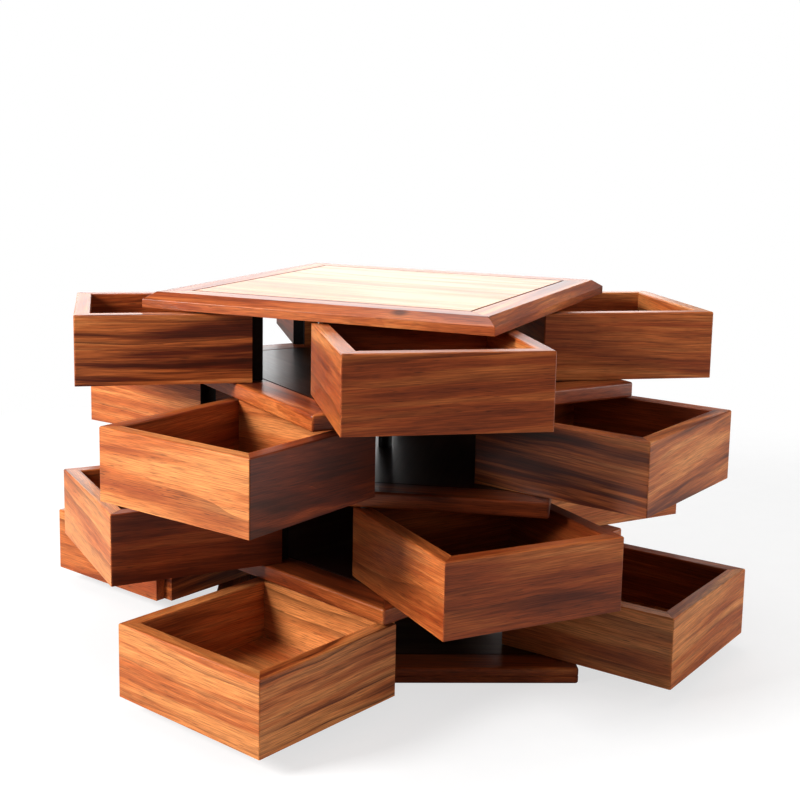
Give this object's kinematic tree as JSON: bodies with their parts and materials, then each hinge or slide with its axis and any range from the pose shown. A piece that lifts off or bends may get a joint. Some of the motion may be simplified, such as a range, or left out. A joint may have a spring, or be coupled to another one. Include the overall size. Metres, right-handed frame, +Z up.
{
  "type": "rotating desk organizer with drawers",
  "caption": "Square hardwood desk organizer whose stacked plates turn on a central column and swing out open square drawers between them.",
  "frame": {"origin": "on the column's axis at the underside of the base", "axes": "+Z up along the column; the front edge of the base faces -Y"},
  "size_m": [0.6141, 0.6154, 0.301],
  "materials": {
    "plate_wood": "satin lacquer",
    "drawer_wood": "satin lacquer",
    "floor_wood": "satin lacquer",
    "inlay_wood": "satin lacquer",
    "steel": "brushed",
    "black_column": "satin black",
    "brass": "plain"
  },
  "bodies": {
    "base": {"base_frame": "plate_wood", "base_panel": "plate_wood", "tier_1_guide_pins": "steel", "tier_1_bushing": "black_column"},
    "plate_1": {"plate_1_frame": "plate_wood", "plate_1_panel": "plate_wood", "tier_1_pivot_pins": "steel", "tier_2_guide_pins": "steel", "tier_2_bushing": "black_column"},
    "plate_2": {"plate_2_frame": "plate_wood", "plate_2_panel": "plate_wood", "tier_2_pivot_pins": "steel", "tier_3_guide_pins": "steel", "tier_3_bushing": "black_column"},
    "plate_3": {"plate_3_frame": "plate_wood", "plate_3_panel": "plate_wood", "tier_3_pivot_pins": "steel", "tier_4_guide_pins": "steel", "tier_4_bushing": "black_column"},
    "top": {"top_frame": "plate_wood", "top_panel": "plate_wood", "top_inlay": "inlay_wood", "column_rod": "steel", "rod_insert": "brass", "foot_nut": "steel", "foot_washer": "steel", "tier_4_pivot_pins": "steel"},
    "tier_1_drawer_a": {"tier_1_drawer_a_walls": "drawer_wood", "tier_1_drawer_a_floor": "floor_wood"},
    "tier_1_drawer_b": {"tier_1_drawer_b_walls": "drawer_wood", "tier_1_drawer_b_floor": "floor_wood"},
    "tier_1_drawer_c": {"tier_1_drawer_c_walls": "drawer_wood", "tier_1_drawer_c_floor": "floor_wood"},
    "tier_1_drawer_d": {"tier_1_drawer_d_walls": "drawer_wood", "tier_1_drawer_d_floor": "floor_wood"},
    "tier_2_drawer_a": {"tier_2_drawer_a_walls": "drawer_wood", "tier_2_drawer_a_floor": "floor_wood"},
    "tier_2_drawer_b": {"tier_2_drawer_b_walls": "drawer_wood", "tier_2_drawer_b_floor": "floor_wood"},
    "tier_2_drawer_c": {"tier_2_drawer_c_walls": "drawer_wood", "tier_2_drawer_c_floor": "floor_wood"},
    "tier_2_drawer_d": {"tier_2_drawer_d_walls": "drawer_wood", "tier_2_drawer_d_floor": "floor_wood"},
    "tier_3_drawer_a": {"tier_3_drawer_a_walls": "drawer_wood", "tier_3_drawer_a_floor": "floor_wood"},
    "tier_3_drawer_b": {"tier_3_drawer_b_walls": "drawer_wood", "tier_3_drawer_b_floor": "floor_wood"},
    "tier_3_drawer_c": {"tier_3_drawer_c_walls": "drawer_wood", "tier_3_drawer_c_floor": "floor_wood"},
    "tier_3_drawer_d": {"tier_3_drawer_d_walls": "drawer_wood", "tier_3_drawer_d_floor": "floor_wood"},
    "tier_4_drawer_a": {"tier_4_drawer_a_walls": "drawer_wood", "tier_4_drawer_a_floor": "floor_wood"},
    "tier_4_drawer_b": {"tier_4_drawer_b_walls": "drawer_wood", "tier_4_drawer_b_floor": "floor_wood"},
    "tier_4_drawer_c": {"tier_4_drawer_c_walls": "drawer_wood", "tier_4_drawer_c_floor": "floor_wood"},
    "tier_4_drawer_d": {"tier_4_drawer_d_walls": "drawer_wood", "tier_4_drawer_d_floor": "floor_wood"}
  },
  "joints": [
    {"name": "tier_1_turn", "type": "hinge", "parent": "base", "child": "plate_1", "pos_m": [0, 0, 0.072], "axis": [0, 0, 1], "range_deg": [-43.1, 0.9]},
    {"name": "tier_2_turn", "type": "hinge", "parent": "plate_1", "child": "plate_2", "pos_m": [0, 0, 0.144], "axis": [0, 0, 1], "range_deg": [-35.4, 8.6]},
    {"name": "tier_3_turn", "type": "hinge", "parent": "plate_2", "child": "plate_3", "pos_m": [0, 0, 0.216], "axis": [0, 0, 1], "range_deg": [-39.8, 4.2]},
    {"name": "tier_4_turn", "type": "hinge", "parent": "plate_3", "child": "top", "pos_m": [0, 0, 0.288], "axis": [0, 0, 1], "range_deg": [-35.7, 8.3]},
    {"name": "tier_1_drawer_a_swing", "type": "hinge", "parent": "plate_1", "child": "tier_1_drawer_a", "pos_m": [0.10454, -0.1011, 0.0705], "axis": [0, 0, 1], "range_deg": [-1.7, 80.81]},
    {"name": "tier_1_drawer_b_swing", "type": "hinge", "parent": "plate_1", "child": "tier_1_drawer_b", "pos_m": [0.1011, 0.10454, 0.0705], "axis": [0, 0, 1], "range_deg": [-1.76, 84.01]},
    {"name": "tier_1_drawer_c_swing", "type": "hinge", "parent": "plate_1", "child": "tier_1_drawer_c", "pos_m": [-0.10454, 0.1011, 0.0705], "axis": [0, 0, 1], "range_deg": [-1.78, 84.81]},
    {"name": "tier_1_drawer_d_swing", "type": "hinge", "parent": "plate_1", "child": "tier_1_drawer_d", "pos_m": [-0.1011, -0.10454, 0.0705], "axis": [0, 0, 1], "range_deg": [-1.8, 85.91]},
    {"name": "tier_2_drawer_a_swing", "type": "hinge", "parent": "plate_2", "child": "tier_2_drawer_a", "pos_m": [0.14378, -0.02185, 0.1425], "axis": [0, 0, 1], "range_deg": [-12.57, 51.71]},
    {"name": "tier_2_drawer_b_swing", "type": "hinge", "parent": "plate_2", "child": "tier_2_drawer_b", "pos_m": [0.02185, 0.14378, 0.1425], "axis": [0, 0, 1], "range_deg": [-13.15, 54.11]},
    {"name": "tier_2_drawer_c_swing", "type": "hinge", "parent": "plate_2", "child": "tier_2_drawer_c", "pos_m": [-0.14378, 0.02185, 0.1425], "axis": [0, 0, 1], "range_deg": [-13.08, 53.81]},
    {"name": "tier_2_drawer_d_swing", "type": "hinge", "parent": "plate_2", "child": "tier_2_drawer_d", "pos_m": [-0.02185, -0.14378, 0.1425], "axis": [0, 0, 1], "range_deg": [-13.23, 54.41]},
    {"name": "tier_3_drawer_a_swing", "type": "hinge", "parent": "plate_3", "child": "tier_3_drawer_a", "pos_m": [0.12445, 0.07524, 0.2145], "axis": [0, 0, 1], "range_deg": [-7.06, 66.81]},
    {"name": "tier_3_drawer_b_swing", "type": "hinge", "parent": "plate_3", "child": "tier_3_drawer_b", "pos_m": [-0.07524, 0.12445, 0.2145], "axis": [0, 0, 1], "range_deg": [-6.89, 65.21]},
    {"name": "tier_3_drawer_c_swing", "type": "hinge", "parent": "plate_3", "child": "tier_3_drawer_c", "pos_m": [-0.12445, -0.07524, 0.2145], "axis": [0, 0, 1], "range_deg": [-7.08, 67.01]},
    {"name": "tier_3_drawer_d_swing", "type": "hinge", "parent": "plate_3", "child": "tier_3_drawer_d", "pos_m": [0.07524, -0.12445, 0.2145], "axis": [0, 0, 1], "range_deg": [-7.11, 67.31]},
    {"name": "tier_4_drawer_a_swing", "type": "hinge", "parent": "top", "child": "tier_4_drawer_a", "pos_m": [0.05716, 0.13373, 0.2865], "axis": [0, 0, 1], "range_deg": [-12.75, 54.81]},
    {"name": "tier_4_drawer_b_swing", "type": "hinge", "parent": "top", "child": "tier_4_drawer_b", "pos_m": [-0.13373, 0.05716, 0.2865], "axis": [0, 0, 1], "range_deg": [-12.61, 54.21]},
    {"name": "tier_4_drawer_c_swing", "type": "hinge", "parent": "top", "child": "tier_4_drawer_c", "pos_m": [-0.05716, -0.13373, 0.2865], "axis": [0, 0, 1], "range_deg": [-12.87, 55.31]},
    {"name": "tier_4_drawer_d_swing", "type": "hinge", "parent": "top", "child": "tier_4_drawer_d", "pos_m": [0.13373, -0.05716, 0.2865], "axis": [0, 0, 1], "range_deg": [-12.75, 54.81]}
  ],
  "couplings": [
    {"joint": "tier_1_drawer_a_swing", "follows": "tier_1_turn", "ratio": -1.8747},
    {"joint": "tier_1_drawer_b_swing", "follows": "tier_1_turn", "ratio": -1.949},
    {"joint": "tier_1_drawer_c_swing", "follows": "tier_1_turn", "ratio": -1.9675},
    {"joint": "tier_1_drawer_d_swing", "follows": "tier_1_turn", "ratio": -1.993},
    {"joint": "tier_2_drawer_a_swing", "follows": "tier_2_turn", "ratio": -1.4605},
    {"joint": "tier_2_drawer_b_swing", "follows": "tier_2_turn", "ratio": -1.5282},
    {"joint": "tier_2_drawer_c_swing", "follows": "tier_2_turn", "ratio": -1.5198},
    {"joint": "tier_2_drawer_d_swing", "follows": "tier_2_turn", "ratio": -1.5367},
    {"joint": "tier_3_drawer_a_swing", "follows": "tier_3_turn", "ratio": -1.6784},
    {"joint": "tier_3_drawer_b_swing", "follows": "tier_3_turn", "ratio": -1.6382},
    {"joint": "tier_3_drawer_c_swing", "follows": "tier_3_turn", "ratio": -1.6834},
    {"joint": "tier_3_drawer_d_swing", "follows": "tier_3_turn", "ratio": -1.691},
    {"joint": "tier_4_drawer_a_swing", "follows": "tier_4_turn", "ratio": -1.535},
    {"joint": "tier_4_drawer_b_swing", "follows": "tier_4_turn", "ratio": -1.5182},
    {"joint": "tier_4_drawer_c_swing", "follows": "tier_4_turn", "ratio": -1.549},
    {"joint": "tier_4_drawer_d_swing", "follows": "tier_4_turn", "ratio": -1.535}
  ]
}
